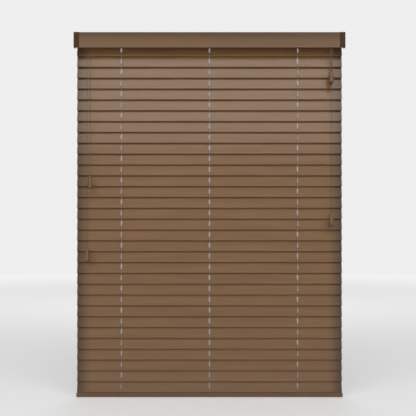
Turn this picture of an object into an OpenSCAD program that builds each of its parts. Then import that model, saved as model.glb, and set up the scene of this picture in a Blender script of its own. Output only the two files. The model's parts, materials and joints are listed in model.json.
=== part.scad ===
// Venetian blind with wooden slats, a cord tilter, a cord lock and a boxed valance.
// +Z is up, -Y faces the room and X runs along the slats. The origin is the middle of the four
// screw holes in the tops of the two box brackets, on the brackets' upper face.

/* [Slats] */
// Length of every slat
slat_len = 1075; // [960:5:1100]
// Width of a slat from edge to edge
slat_w = 50; // [48:0.5:51]
// Thickness of a slat
slat_t = 3; // [2.6:0.1:3.2]
// Distance from one slat to the next
slat_pitch = 44; // [42:0.5:46]
// Number of slats
slat_count = 32; // [6:1:40]
// Angle of the closed slats from level, with their room-side edges low
slat_tilt = 75; // [70:1:76]
// Drop from the underside of the headrail to the middle of the top slat
first_drop = 26.5; // [26:0.5:40]
// Length of the cord hole across a slat
rout_len = 22; // [21:0.5:26]
// Width of the cord hole along a slat
rout_w = 5; // [5:0.5:9]

/* [Ladders and cords] */
// Distance from the middle ladder to each outer ladder
ladder_x = 358; // [300:1:400]
// Thickness of a ladder's upright strings
string_d = 1.2; // [1:0.1:1.4]
// Thickness of a ladder's rungs
rung_d = 1; // [0.8:0.1:1.2]
// Thickness of the lift cords
lift_cord_d = 1.8; // [1.6:0.1:2]
// Thickness of the tilt cord
tilt_cord_d = 1.6; // [1.4:0.1:1.8]

/* [Headrail] */
// How far the headrail stops short of the slats at each end
head_short = 4; // [2:0.5:8]
// Depth of the headrail from room side to window side
head_w = 57; // [55:0.5:60]
// Height of the headrail
head_h = 38; // [37:0.5:44]
// Thickness of the headrail's steel
head_t = 0.9; // [0.7:0.1:1]
// Width of the lips turned in along the headrail's open top
head_lip = 6; // [4:0.5:8]

/* [Brackets] */
// Thickness of the bracket steel
bracket_t = 1.2; // [1:0.1:1.6]
// Length of headrail that a bracket holds
bracket_w = 32; // [30:0.5:33]
// Diameter of the fixing holes
screw_d = 5; // [4:0.1:6]
// Distance between the two top holes of one bracket
screw_gap = 24; // [16:1:30]
// Height between the two rear holes of one bracket
rear_screw_gap = 17; // [12:0.5:20]

/* [Valance] */
// Height of the valance boards
valance_h = 62; // [56:1:76]
// Thickness of the valance boards
valance_t = 8; // [6:0.5:12]
// Radius on the long edges of the valance boards
valance_r = 2.5; // [1:0.5:3]
// Space between the headrail and the back of the valance
valance_gap = 10.5; // [10:0.5:16]
// Thickness of the moulded corner covers
cover_t = 1; // [0.8:0.1:1.5]
// Width of a corner cover on each board
cover_w = 22; // [16:1:30]

/* [Bottom rail] */
// Height of the bottom rail
rail_h = 15; // [14:0.5:20]
// Width of the bottom rail
rail_w = 50; // [44:0.5:54]
// Radius on the long edges of the bottom rail
rail_r = 3; // [1:0.5:5]
// Diameter of the holes for the cord plugs
plug_d = 21; // [20.5:0.5:24]

/* [Tilter] */
// Distance from the headrail's end to the middle of the tilter
tilter_in = 47.5; // [44:0.5:60]
// Turn of the rod that takes the slats from one closed side to the other
drum_turn = 240; // [220:5:270]
// Width across the flats of the square tilt rod
rod_w = 6; // [5:0.1:6.5]
// Teeth on the worm wheel
wheel_teeth = 12; // [11:1:13]
// Tooth module of the worm and its wheel
tooth_module = 1; // [0.95:0.01:1.02]
// Distance of the tilt cord's middle from the pulley's axis
pulley_r = 5.9; // [5.5:0.1:6.2]

/* [Cord lock] */
// Distance from the headrail's end to the middle cord in the lock
lock_in = 43.5; // [40:0.5:54]
// Travel of the locking roller in its slots
lock_travel = 3; // [2:0.5:4]

/* [Hidden] */
$fn = 48;
wood = "#7e634c";
wood_dark = "#5c4432";
string_grey = "#8d8276";
cord_white = "#d8cfbf";
steel = "#c9c7c2";
plastic = "#e6e2d8";
brass = "#b08d4a";
tassel_brown = "#6e4630";

// Clearances
seat_gap = 0.3; // between a piece and what it rests on
slip = 0.15; // round a shaft or a bar in its hole
thread_gap = 0.2; // between a ladder string and the slats
join_gap = 0.1; // between a cord's end and what it runs on into
cut = 1; // how far a cut runs past the face that it opens

// Slats and ladders
ladders = [-ladder_x, 0, ladder_x];
head_len = slat_len - 2 * head_short;
head_top = -bracket_t - seat_gap;
head_bottom = head_top - head_h;
head_floor = head_bottom + head_t;
head_r = 2; // corner radius of the headrail
lip_drop = 3; // depth of the headrail's rolled lips
arm = (slat_w - slat_t) / 2; // from a slat's middle to the centre of its round edge
string_off = slat_t / 2 + thread_gap + string_d / 2;
string_y = arm * cos(slat_tilt) + string_off;
edge_rise = arm * sin(slat_tilt);
rung_x = (string_d + rung_d) / 2 + 0.4;
rung_off = (slat_t + rung_d + thread_gap) / 2; // from a slat's middle to its rungs
cord_x = 1; // the lift cord weaves this far to each side
rail_top = slat_z(slat_count) - edge_rise - slat_t / 2 - seat_gap;
rail_bottom = rail_top - rail_h;
rail_mid = (rail_top + rail_bottom) / 2;
plug_depth = 7;
plug_lip = 1.5;
plug_rim = 2; // how far a plug's head covers the rail round its hole
plug_wall = 1.35;
string_hole_d = string_d + 1.2;
cord_hole_d = lift_cord_d + 2 * cord_x + 0.6;
string_over = 2; // length of string past the top slat's edge
string_under = 1.2; // length of string past the bottom slat's edge
string_tuck = 3; // where the strings end above the rail's underside
lift_knot_r = 2;
lift_knot_z = rail_bottom + 2.5;

// Tilt rod, drums and cradles
rod_z = head_floor + 17.6;
drum_string_r = 2 * edge_rise / (drum_turn * PI / 180);
drum_r = drum_string_r - string_d / 2;
flange_r = drum_r + string_d + 0.2;
flange_t = 1.2;
drum_core = 5; // half the length of a drum between its flanges
drum_half = drum_core + flange_t;
hub_r = rod_w * 0.75;
upright_t = 2;
upright_in = drum_half + 0.8;
hub_half = upright_in + upright_t;
cradle_t = 1.2;
cradle_w = 36;
cradle_half = hub_half + 3;
gate_y = drum_string_r - 1; // where the ladder strings pass the headrail's floor
slot_room = 2; // round the strings in the cradle's slots
slot_half = 2.5;
floor_room = 1; // between the cradle's slots and the edge of the hole in the headrail
pin_r = 1.6;
pin_x = cord_x + lift_cord_d / 2 + pin_r;
ear_half = 2.2;
ear_t = 1.5;
cord_z = rod_z - flange_r - 0.6 - lift_cord_d / 2; // height of the lift cords in the headrail
pin_z = cord_z - lift_cord_d / 2 - pin_r;
lane = lift_cord_d + 0.6; // distance between cords that run side by side
lane_y = [lane, -lane, 0];
cords_half = 2 * lane; // half the width left free for the three cords
window_top = cord_z + lift_cord_d / 2 + 0.5;

// Where the cords come out and hang
cord_out = 6.5; // in front of the headrail
hang_y = -head_w / 2 - cord_out;

// Tilter
tilter_x = head_len / 2 - tilter_in;
wheel_r = tooth_module * wheel_teeth / 2;
worm_r = 4 * tooth_module;
tooth_add = 0.75 * tooth_module;
tooth_ded = 0.95 * tooth_module;
tooth_half = 0.575 * tooth_module;
tooth_sink = 0.3 * tooth_module; // how far the thread's foot lies inside the worm's core
flank = tan(20);
worm_z = rod_z - wheel_r - worm_r;
worm_half = 8.5;
worm_end = 2; // plain length at each end of the worm
wheel_w = 4;
wheel_hub_r = rod_w * 0.8;
shaft_r = 2.5;
tilter_wall = 1.5;
tilter_half = 10;
tilter_back = 12;
tilter_front = 14;
tilter_top = rod_z + wheel_r + 3;
moulded_floor = 1; // floor of the tilter's housing and of the lock
pulley_half = 3;
pulley_rim = 1.6; // height of the pulley's rim over the middle of the cord
pulley_edge = 0.8;
snout_w = 9;
snout_under = 2;
snout_over = 5;
snout_room = 0.5;

// Cord lock
lock_x = head_len / 2 - lock_in;
lock_left = lock_x - 14;
lock_right = lock_x + 10;
lock_mid = (lock_left + lock_right) / 2;
lock_back = 7;
lock_front = head_w / 2 - 2;
lock_top = cord_z + 12;
lock_wall = 1.5;
mouth_left = lock_left + 4;
mouth_right = lock_right - 2;
mouth_top = lock_top - 2;
mouth_y = -head_w / 2 - 2;
mouth_room = 1; // round the mouth in the headrail's front
post_r = 4.1;
post_h = 8;
post_x = lock_x - lane - post_r - lift_cord_d / 2;
post_y = -lane - post_r - lift_cord_d / 2;
roller_r = 2.6;
roller_axle_r = 1.3;
roller_knurls = 24;
knurl_deep = 0.3;
roller_y = -20;
roller_z = cord_z + lift_cord_d / 2 + roller_r + join_gap;
lower_pin_r = 1.2;
exit_r = 4.5; // bend of the cords over the lock's lip
exit_y = hang_y + exit_r;
exit_z = cord_z - exit_r;
lock_slope = 30; // lean of the roller's slots from upright

// Brackets
bracket_out = head_len / 2 + seat_gap + bracket_t;
bracket_in = bracket_out - bracket_w;
bracket_back = head_w / 2 + seat_gap + bracket_t;
bracket_low = head_bottom - seat_gap - bracket_t;
bracket_x = (bracket_out + bracket_in) / 2;
bracket_mid_z = (head_top + head_bottom) / 2;
door_rib = 1;
door_rib_w = 5;
door_rib_h = 24;
door_tab = 4;
door_tab_half = 5;

// Valance
board_back = -head_w / 2 - valance_gap;
board_front = board_back - valance_t;
valance_top = -1;
valance_mid = valance_top - valance_h / 2;
return_in = bracket_out + 1;
return_out = return_in + valance_t;
return_back = -slat_w / 2 - 1.5; // short returns, in front of the turning top slat
clip_in = 101; // from the headrail's ends to the outer clips
clip_mid = 40; // the middle clip stands clear of the middle ladder
clip_x = [-head_len / 2 + clip_in, clip_mid, head_len / 2 - clip_in];
clip_t = 1.5;
clip_w = 16;
clip_hook = 6;
clip_lip = 7;
hook_t = 1;
groove_z = valance_top - valance_h * 0.45;
groove_h = 8;
groove_deep = 2; // depth of the groove's wide part
groove_mouth = 4.6; // height of its narrow mouth
mouth_deep = 1.8;
groove_end = 20; // from the groove's ends to the valance's inner corners
clip_head_h = groove_h - 2 * seat_gap;
clip_head_t = groove_deep - 2 * seat_gap;
clip_neck_h = groove_mouth - 2 * seat_gap;

// Tassels and condenser; a height is that of the top
tassel_h = 51;
tassel_top_r = 5.6;
tassel_base_r = 8;
tassel_knot_r = 2.2;
knot_room = 14; // height of the hollow for the knot in a tassel's base
tassel_high = -577;
tassel_low = -870.6;
pull_tassel_top = -728;
pull_tassel_h = 54;
pull_tassel_top_r = 6.2;
pull_tassel_base_r = 9.5;
condenser_top = -157;
condenser_h = 54;
condenser_r = 9.5;
condenser_mouth_r = 4.2;
condenser_mouth = 5; // depth of the condenser's mouth
bore_gap = 0.4; // round a cord in a tassel's bore

// Heights that the hanging cords pass
tilt_near_z = [-614, -550, -500, -400, -300, -200, -100, -50];
tilt_far_z = [-50, -100, -200, -300, -400, -500, -600, -700, -800, -907.6];
pull_three_z = [-161, -120, -80];
pull_single_z = [-211, -300, -400, -500, -600, -700, -768];
sweep_side = [0.1, 1, 0.2]; // steadies the rings of the hanging cords

function pad2(i) = i < 10 ? str("0", i) : str(i);
function slat_name(i) = str("slat_", pad2(i));
function slat_z(i) = head_bottom - first_drop - (i - 1) * slat_pitch;
function rung_side(i) = i % 2 == 1 ? -1 : 1;

// ---------- shared shapes ----------

// A bar along X, from a profile drawn as [y, z]
module along_x(len) {
    rotate([90, 0, 90]) linear_extrude(height = len, center = true) children();
}

// A plate or bar along Y, from a profile drawn as [x, z]
module along_y(len) {
    rotate([90, 0, 0]) linear_extrude(height = len, center = true) children();
}

module rod_x(r, len) {
    rotate([0, 90, 0]) cylinder(r = r, h = len, center = true);
}

module rod_y(r, len) {
    rotate([90, 0, 0]) cylinder(r = r, h = len, center = true);
}

// A box from its lowest to its highest corner
module block(a, b) {
    translate(a) cube(b - a);
}

module rounded_rect(w, h, r) {
    square([w - 2 * r, h], center = true);
    square([w, h - 2 * r], center = true);
    for (x = [-1, 1], y = [-1, 1]) {
        translate([x * (w / 2 - r), y * (h / 2 - r)]) circle(r = r);
    }
}

// A slot with round ends, longer along the second axis
module stadium(w, h) {
    square([w, h - w], center = true);
    for (y = [-1, 1]) translate([0, y * (h - w) / 2]) circle(d = w);
}

// A cord swept along a list of points
function unit(v) = v / norm(v);
function heading(p, i) =
    let (n = len(p) - 1)
    i == 0 ? unit(p[1] - p[0])
    : i == n ? unit(p[n] - p[n - 1])
    : unit(unit(p[i] - p[i - 1]) + unit(p[i + 1] - p[i]));
function ring(p, i, r, sides, side_dir) =
    let (t = heading(p, i), u = unit(cross(side_dir, t)), v = cross(t, u))
    [for (k = [0:sides - 1]) p[i] + r * (cos(360 * k / sides) * u + sin(360 * k / sides) * v)];

module cord(points, d, side_dir = sweep_side, sides = 8) {
    n = len(points);
    rings = [for (i = [0:n - 1]) each ring(points, i, d / 2, sides, side_dir)];
    walls = [for (i = [0:n - 2], k = [0:sides - 1])
        let (a = i * sides + k, b = i * sides + (k + 1) % sides)
        each [[a, a + sides, b + sides], [a, b + sides, b]]];
    low_cap = [[for (k = [0:sides - 1]) k]];
    high_cap = [[for (k = [sides - 1:-1:0]) (n - 1) * sides + k]];
    polyhedron(points = rings, faces = concat(walls, low_cap, high_cap), convexity = 10);
}

// Points round a bend, and points down a cord that hangs at one place
function bend(c, r, a0, a1, steps, u, v) =
    [for (k = [0:steps]) let (a = a0 + (a1 - a0) * k / steps) c + r * (cos(a) * u + sin(a) * v)];
function hanging(x, heights) = [for (z = heights) [x, hang_y, z]];

// ---------- slats ----------

module slat(i) {
    translate([0, 0, slat_z(i)]) rotate([slat_tilt, 0, 0]) {
        color(wood) difference() {
            along_x(slat_len) rotate(90) stadium(slat_t, slat_w);
            for (x = ladders) {
                translate([x, 0, 0]) linear_extrude(height = 2 * slat_t, center = true)
                    stadium(rout_w, rout_len);
            }
        }
        // The ladders' rungs carry the slat
        color(string_grey) for (x = ladders) {
            translate([x + rung_side(i) * rung_x, 0, -rung_off]) rod_y(rung_d / 2, 2 * arm);
        }
    }
}

// ---------- headrail ----------

module headrail_section() {
    inner_w = head_w - 2 * head_t;
    difference() {
        rounded_rect(head_w, head_h, head_r);
        translate([0, head_t / 2]) square([inner_w, head_h - head_t], center = true);
        translate([0, head_h / 2]) square([inner_w, 2 * head_r], center = true);
    }
    // Rolled lips along the open top
    for (s = [-1, 1]) {
        translate([s * (head_w - head_lip) / 2, (head_h - head_t) / 2])
            square([head_lip, head_t], center = true);
        translate([s * (head_w / 2 - head_lip + head_t / 2), (head_h - lip_drop) / 2])
            square([head_t, lip_drop], center = true);
    }
}

module headrail() {
    hole_y = drum_string_r + slot_room + floor_room;
    color(steel) difference() {
        translate([0, 0, (head_top + head_bottom) / 2]) along_x(head_len) headrail_section();
        // Floor openings under the ladders
        for (x = ladders) {
            block([x - 2 * slot_half, -hole_y, head_bottom - cut],
                  [x + pin_x + 2 * slot_room, hole_y, head_floor + cut]);
        }
        // Front openings for the tilter's snout and the lock's mouth
        block([-tilter_x - snout_w / 2 - snout_room, -head_w / 2 - cut,
               worm_z - shaft_r - snout_under - snout_room],
              [-tilter_x + snout_w / 2 + snout_room, -head_w / 2 + head_r + cut,
               worm_z + snout_over + snout_room]);
        block([mouth_left - mouth_room, -head_w / 2 - cut, head_floor + join_gap],
              [mouth_right + mouth_room, -head_w / 2 + head_r + cut, mouth_top + mouth_room / 2]);
    }
}

// ---------- brackets ----------

module bracket_shell(s) {
    mid = s * bracket_x;
    difference() {
        block([mid - bracket_w / 2, -bracket_back, bracket_low], [mid + bracket_w / 2, bracket_back, 0]);
        // Room for the headrail, open towards the other bracket and towards the room
        translate([-s * bracket_t, 0, 0])
            block([mid - bracket_w / 2, -bracket_back - cut, bracket_low + bracket_t],
                  [mid + bracket_w / 2, bracket_back - bracket_t, -bracket_t]);
        for (y = [-1, 1]) {
            translate([mid, y * screw_gap / 2, -bracket_t / 2])
                cylinder(d = screw_d, h = 2 * bracket_t, center = true);
            translate([s * (bracket_out - bracket_t / 2), y * screw_gap / 2, bracket_mid_z])
                rod_x(screw_d / 2, 2 * bracket_t);
        }
        for (z = [-1, 1]) {
            translate([mid, bracket_back - bracket_t / 2, bracket_mid_z + z * rear_screw_gap / 2])
                rod_y(screw_d / 2, 2 * bracket_t);
        }
    }
}

module mounting_brackets() {
    color(plastic) for (s = [-1, 1]) bracket_shell(s);
}

module bracket_door(s) {
    low = bracket_low + bracket_t + slip;
    high = -bracket_t - slip;
    inner = s * bracket_in;
    outer = s * (bracket_out - bracket_t - slip);
    mid = (inner + outer) / 2;
    front = -bracket_back;
    block([min(inner, outer), front, low], [max(inner, outer), front + bracket_t, high]);
    // Pressed rib and a thumb tab
    translate([mid, front, (low + high) / 2]) rotate([90, 0, 0])
        linear_extrude(height = door_rib) stadium(door_rib_w, door_rib_h);
    block([mid - door_tab_half, front - door_tab, low], [mid + door_tab_half, front, low + bracket_t]);
}

module bracket_doors() {
    color(plastic) for (s = [-1, 1]) bracket_door(s);
}

// ---------- valance ----------

module board_section() {
    rounded_rect(valance_t, valance_h, valance_r);
}

module valance_front() {
    color(wood) difference() {
        intersection() {
            translate([0, (board_front + board_back) / 2, valance_mid]) along_x(2 * return_out) board_section();
            // Mitred ends
            translate([0, 0, valance_mid]) linear_extrude(height = valance_h + 2 * cut, center = true)
                polygon([[-return_out, board_front], [return_out, board_front],
                         [return_in, board_back], [-return_in, board_back]]);
        }
        // T-shaped groove that takes the clips
        translate([0, board_back - mouth_deep / 2, groove_z]) along_x(2 * (return_in - groove_end))
            square([mouth_deep, groove_mouth], center = true);
        translate([0, board_back - mouth_deep - groove_deep / 2, groove_z])
            along_x(2 * (return_in - groove_end)) square([groove_deep, groove_h], center = true);
    }
}

module valance_return(s) {
    intersection() {
        translate([s * (return_in + return_out) / 2, (board_front + return_back) / 2, valance_mid])
            along_y(return_back - board_front) board_section();
        translate([0, 0, valance_mid]) linear_extrude(height = valance_h + 2 * cut, center = true)
            polygon([[s * return_out, board_front], [s * return_out, return_back],
                     [s * return_in, return_back], [s * return_in, board_back]]);
    }
}

module valance_returns() {
    color(wood) for (s = [-1, 1]) valance_return(s);
}

// A moulded angle over the mitre, with its outer corner rounded
module corner_cover(s) {
    corner = [s * return_out, board_front];
    front_w = cover_w - cover_t;
    side_w = return_back - board_front;
    translate([0, 0, valance_top - valance_h]) linear_extrude(height = valance_h) {
        translate(corner + [-s * front_w / 2, -cover_t / 2]) square([front_w, cover_t], center = true);
        translate(corner + [s * cover_t / 2, side_w / 2]) square([cover_t, side_w], center = true);
        translate(corner) intersection() {
            circle(r = cover_t);
            translate([s * cover_t / 2, -cover_t / 2]) square(cover_t, center = true);
        }
    }
}

module valance_corners() {
    color(wood_dark) for (s = [-1, 1]) corner_cover(s);
}

// A clip hooks over the headrail's front lip, grips its lower edge and runs in the board's groove
module valance_clip(x) {
    face = -head_w / 2 - seat_gap;
    low = head_bottom - seat_gap - clip_t;
    top = head_top + seat_gap;
    neck_end = board_back - mouth_deep - seat_gap;
    color(plastic) translate([x, 0, 0]) along_x(clip_w) {
        translate([face - clip_t, low]) square([clip_t, top + hook_t - low]);
        // Hook over the top and lip under the headrail
        translate([face - clip_t, top]) square([clip_hook, hook_t]);
        translate([face - clip_t, low]) square([clip_lip, clip_t]);
        // Neck through the groove's mouth, and its wide head
        translate([neck_end, groove_z - clip_neck_h / 2]) square([face - neck_end, clip_neck_h]);
        translate([neck_end - clip_head_t, groove_z - clip_head_h / 2]) square([clip_head_t, clip_head_h]);
    }
}

module valance_clips() {
    for (x = clip_x) valance_clip(x);
}

// ---------- ladder cradles, rod and drums ----------

module cradle_upright(x) {
    foot = cradle_w / 2 - upright_t;
    shoulder = hub_r + 2 * upright_t;
    window_low = head_floor + cradle_t;
    translate([x, 0, 0]) along_x(upright_t) difference() {
        polygon([[-foot, head_floor], [foot, head_floor],
                 [shoulder, rod_z + 2 * upright_t], [-shoulder, rod_z + 2 * upright_t]]);
        // Bearing, open at the top for the rod
        translate([0, rod_z]) circle(r = hub_r + slip);
        translate([-hub_r - slip, rod_z]) square([2 * (hub_r + slip), 2 * upright_t + cut]);
        // Window for the passing lift cords
        translate([-cords_half, window_low]) square([2 * cords_half, window_top - window_low]);
    }
}

module ladder_cradle() {
    slot_in = gate_y - slot_room;
    slot_out = drum_string_r + slot_room;
    difference() {
        block([-cradle_half, -cradle_w / 2, head_floor], [cradle_half, cradle_w / 2, head_floor + cradle_t]);
        for (s = [-1, 1]) {
            block([-slot_half, min(s * slot_in, s * slot_out), head_floor - cut],
                  [slot_half, max(s * slot_in, s * slot_out), head_floor + cradle_t + cut]);
        }
        block([-slot_half - cut, -cords_half, head_floor - cut],
              [pin_x + pin_r + 2 * seat_gap, cords_half, head_floor + cradle_t + cut]);
    }
    for (s = [-1, 1]) {
        cradle_upright(s * (upright_in + upright_t / 2));
        // Ear that holds the pin
        translate([pin_x, s * (cords_half + ear_t / 2), (head_floor + pin_z) / 2 + seat_gap])
            cube([2 * ear_half, ear_t, pin_z - head_floor + 2 * seat_gap], center = true);
    }
    // Steel pin that the lift cord bends over
    translate([pin_x, 0, pin_z]) rod_y(pin_r, 2 * cords_half);
}

module ladder_cradles() {
    color(plastic) for (x = ladders) translate([x, 0, 0]) ladder_cradle();
}

module tilt_rod() {
    left = tilter_x + tilter_half + upright_t;
    right = ladder_x + cradle_half + upright_t;
    color(steel) block([-left, -rod_w / 2, rod_z - rod_w / 2], [right, rod_w / 2, rod_z + rod_w / 2]);
}

module square_hole(len) {
    cube([len, rod_w + 2 * slip, rod_w + 2 * slip], center = true);
}

module tilt_drum() {
    c = drum_core;
    difference() {
        rotate([0, 90, 0]) rotate_extrude() polygon([[0, -hub_half], [hub_r, -hub_half], [hub_r, -drum_half],
            [flange_r, -drum_half], [flange_r, -c], [drum_r, -c], [drum_r, c], [flange_r, c],
            [flange_r, drum_half], [hub_r, drum_half], [hub_r, hub_half], [0, hub_half]]);
        square_hole(2 * hub_half + 2 * cut);
    }
}

module tilt_drums() {
    color(plastic) for (x = ladders) translate([x, 0, rod_z]) tilt_drum();
}

// ---------- tilter ----------

// Worm wheel outline, with a gap between teeth at the bottom
module wheel_outline() {
    root = wheel_r - tooth_ded;
    tip = wheel_r + tooth_add;
    root_a = (tooth_half + tooth_ded * flank) / root * 180 / PI;
    tip_a = (tooth_half - tooth_add * flank) / tip * 180 / PI;
    step = 360 / wheel_teeth;
    polygon([for (k = [0:wheel_teeth - 1], c = [[root, -root_a], [tip, -tip_a], [tip, tip_a], [root, root_a]])
        let (a = -90 + step / 2 + k * step + c[1])
        c[0] * [cos(a), sin(a)]]);
}

module tilter_wheel() {
    color(plastic) translate([-tilter_x, 0, rod_z]) difference() {
        union() {
            along_x(wheel_w) wheel_outline();
            rod_x(wheel_hub_r, 2 * tilter_half);
        }
        square_hole(2 * tilter_half + 2 * cut);
    }
}

// Single-start thread along Z, its crest facing +Y at mid length
module worm_thread(r_in, r_out, half_in, half_out, half_len, pitch, steps) {
    n = floor(2 * half_len / pitch * steps);
    corners = [[r_in, -half_in], [r_out, -half_out], [r_out, half_out], [r_in, half_in]];
    points = [for (i = [0:n]) let (a = 360 * (i - n / 2) / steps)
        for (c = corners) [c[0] * cos(a + 90), c[0] * sin(a + 90), pitch * a / 360 + c[1]]];
    walls = [for (i = [0:n - 1], k = [0:3])
        let (a = 4 * i + k, b = 4 * i + (k + 1) % 4)
        each [[a, b, b + 4], [a, b + 4, a + 4]]];
    polyhedron(points = points, faces = concat(walls, [[3, 2, 1, 0]], [[for (k = [0:3]) 4 * n + k]]),
        convexity = 10);
}

module tilter_worm() {
    core = worm_r - tooth_ded;
    groove_r = pulley_r - tilt_cord_d / 2 - join_gap;
    groove_half = tilt_cord_d / 2;
    rim = pulley_r + pulley_rim;
    shaft_back = tilter_back + cut;
    shaft_front = hang_y - pulley_half;
    color(plastic) translate([-tilter_x, 0, worm_z]) {
        rotate([-90, 0, 0]) rotate([0, 0, 180]) worm_thread(core - tooth_sink, worm_r + tooth_add,
            tooth_half + (tooth_ded + tooth_sink) * flank, tooth_half - tooth_add * flank,
            worm_half - worm_end, PI * tooth_module, 20);
        rod_y(core, 2 * worm_half);
        translate([0, (shaft_back + shaft_front) / 2, 0]) rod_y(shaft_r, shaft_back - shaft_front);
        // Grooved pulley for the tilt cord
        translate([0, hang_y, 0]) rotate([90, 0, 0]) rotate_extrude()
            polygon([[0, -pulley_half], [rim, -pulley_half], [rim, -pulley_half + pulley_edge],
                [groove_r, -groove_half], [groove_r, groove_half],
                [rim, pulley_half - pulley_edge], [rim, pulley_half], [0, pulley_half]]);
    }
}

module tilter_housing() {
    w = tilter_wall;
    low = head_floor;
    slot_r = shaft_r + slip;
    bearing_r = wheel_hub_r + slip;
    side_x = tilter_half - w / 2;
    snout_end = hang_y + pulley_half + snout_room;
    color(plastic) translate([-tilter_x, 0, 0]) {
        block([-tilter_half, -tilter_front, low], [tilter_half, tilter_back, low + moulded_floor]);
        // Side walls with the wheel's bearings, open at the top
        for (s = [-1, 1]) difference() {
            block([s * side_x - w / 2, -tilter_front, low], [s * side_x + w / 2, tilter_back, tilter_top]);
            translate([s * side_x, 0, rod_z]) rod_x(bearing_r, 2 * w);
            block([s * side_x - w, -bearing_r, rod_z], [s * side_x + w, bearing_r, tilter_top + cut]);
        }
        // End walls and snout with the worm's bearings
        difference() {
            union() {
                block([-tilter_half, tilter_back - w, low], [tilter_half, tilter_back, rod_z]);
                block([-tilter_half, -tilter_front, low], [tilter_half, -tilter_front + w, rod_z]);
                block([-snout_w / 2, snout_end, worm_z - shaft_r - snout_under],
                      [snout_w / 2, -tilter_front + w, worm_z + snout_over]);
            }
            translate([0, (tilter_back + snout_end) / 2, worm_z])
                rod_y(slot_r, tilter_back - snout_end + 2 * cut);
            block([-slot_r, snout_end - cut, worm_z], [slot_r, tilter_back + cut, rod_z + cut]);
        }
    }
}

// ---------- cord lock ----------

module cord_lock_body() {
    w = lock_wall;
    low = head_floor;
    floor_top = low + moulded_floor;
    slot_w = 2 * (roller_axle_r + slip);
    color(plastic) {
        difference() {
            block([lock_left, -lock_front, low], [lock_right, lock_back, lock_top]);
            block([lock_left + w, -lock_front - cut, floor_top],
                  [lock_right - w, lock_back - w, lock_top + cut]);
            // Entry for the three cords
            block([lock_left - cut, -cords_half, floor_top], [lock_left + w + cut, cords_half, window_top]);
            // Sloping slots for the locking roller's ends
            translate([lock_mid, roller_y, roller_z]) rotate([-lock_slope, 0, 0])
                translate([0, 0, lock_travel / 2]) along_x(lock_right - lock_left + 2 * cut)
                    stadium(slot_w, lock_travel + slot_w);
        }
        // Mouth through the front of the headrail
        difference() {
            block([mouth_left, mouth_y, low + 2 * join_gap], [mouth_right, -lock_front + w, mouth_top]);
            block([mouth_left + w, mouth_y - cut, floor_top],
                  [mouth_right - w, -lock_front + w + cut, mouth_top - w]);
        }
        // Rounded lip that the cords bend over
        difference() {
            translate([(mouth_left + mouth_right) / 2, exit_y, exit_z])
                rod_x(exit_r - lift_cord_d / 2 - join_gap, mouth_right - mouth_left);
            block([lock_left, -head_w / 2 - slip, exit_z - exit_r], [lock_right, 0, floor_top]);
        }
        // Guide post and lower pin
        translate([post_x, post_y, floor_top]) cylinder(r = post_r - join_gap, h = post_h);
        translate([lock_mid, roller_y, cord_z - lift_cord_d / 2 - lower_pin_r - join_gap])
            rod_x(lower_pin_r, lock_right - lock_left - 2 * w);
    }
}

module cord_lock_roller() {
    len = lock_right - lock_left - 2 * lock_wall - 2 * seat_gap;
    color(brass) translate([lock_mid, roller_y, roller_z]) {
        along_x(len) polygon([for (k = [0:2 * roller_knurls - 1])
            let (a = 180 * k / roller_knurls, r = k % 2 == 0 ? roller_r : roller_r - knurl_deep)
            r * [cos(a), sin(a)]]);
        rod_x(roller_axle_r, lock_right - lock_left + cut);
    }
}

// ---------- ladders ----------

// Upright strings that carry the slats' edges; side is -1 for the room side
module ladder_strings(side) {
    top = slat_z(1) + side * edge_rise + string_over;
    bottom = slat_z(slat_count) + side * edge_rise - string_under;
    color(string_grey) for (x = ladders) {
        translate([x, side * string_y, bottom]) cylinder(d = string_d, h = top - bottom);
    }
}

module ladder_front_strings() {
    ladder_strings(-1);
}

module ladder_rear_strings() {
    ladder_strings(1);
}

// String from the drum's side, through the headrail's floor, to the top of each ladder
module ladder_tops() {
    color(string_grey) for (x = ladders, side = [-1, 1]) {
        end = slat_z(1) + side * edge_rise + string_over + string_d / 2;
        cord([[x, side * string_y, end], [x, side * gate_y, head_bottom], [x, side * drum_string_r, rod_z]],
            string_d, [1, 0, 0]);
    }
}

// String from the bottom of each ladder into the bottom rail
module ladder_tails() {
    color(string_grey) for (x = ladders, side = [-1, 1]) {
        start = slat_z(slat_count) + side * edge_rise - string_under - join_gap;
        low = rail_bottom + string_tuck;
        translate([x, side * string_y, low]) cylinder(d = string_d, h = start - low);
    }
}

// ---------- lift cords ----------

// The cord passes each slat's hole on the side that the slat's rung leaves free
function weave(x0) =
    [for (i = [slat_count:-1:1], dz = [-14, 10]) [x0 - rung_side(i) * cord_x, 0, slat_z(i) + dz]];

function lift_route(k) =
    let (x0 = ladders[k], y = lane_y[k], x1 = lock_x + y, rc = lift_cord_d / 2, high = cord_z + join_gap)
    concat(
        [[x0 - rung_side(slat_count) * cord_x, 0, lift_knot_z + lift_knot_r + join_gap]],
        weave(x0),
        [[x0 + cord_x, 0, head_bottom]],
        bend([x0 + pin_x, 0, pin_z], pin_r + rc + join_gap, 180, 90, 4, [1, 0, 0], [0, 0, 1]),
        [[x0 + 12, 0, high], [x0 + 40, y, high], [lock_left - 6, y, high]],
        bend([post_x, post_y, high], x1 - post_x, 90, 0, 5, [1, 0, 0], [0, 1, 0]),
        [[x1, roller_y, cord_z]],
        bend([x1, exit_y, exit_z], exit_r, 90, 180, 5, [0, 1, 0], [0, 0, 1]));

module lift_cords() {
    color(cord_white) for (k = [0:2]) {
        cord(lift_route(k), lift_cord_d, [0.2, 1, 0.1]);
        // Knot in the bottom rail
        translate([ladders[k] - rung_side(slat_count) * cord_x, 0, lift_knot_z]) sphere(r = lift_knot_r);
    }
}

// ---------- bottom rail ----------

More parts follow.
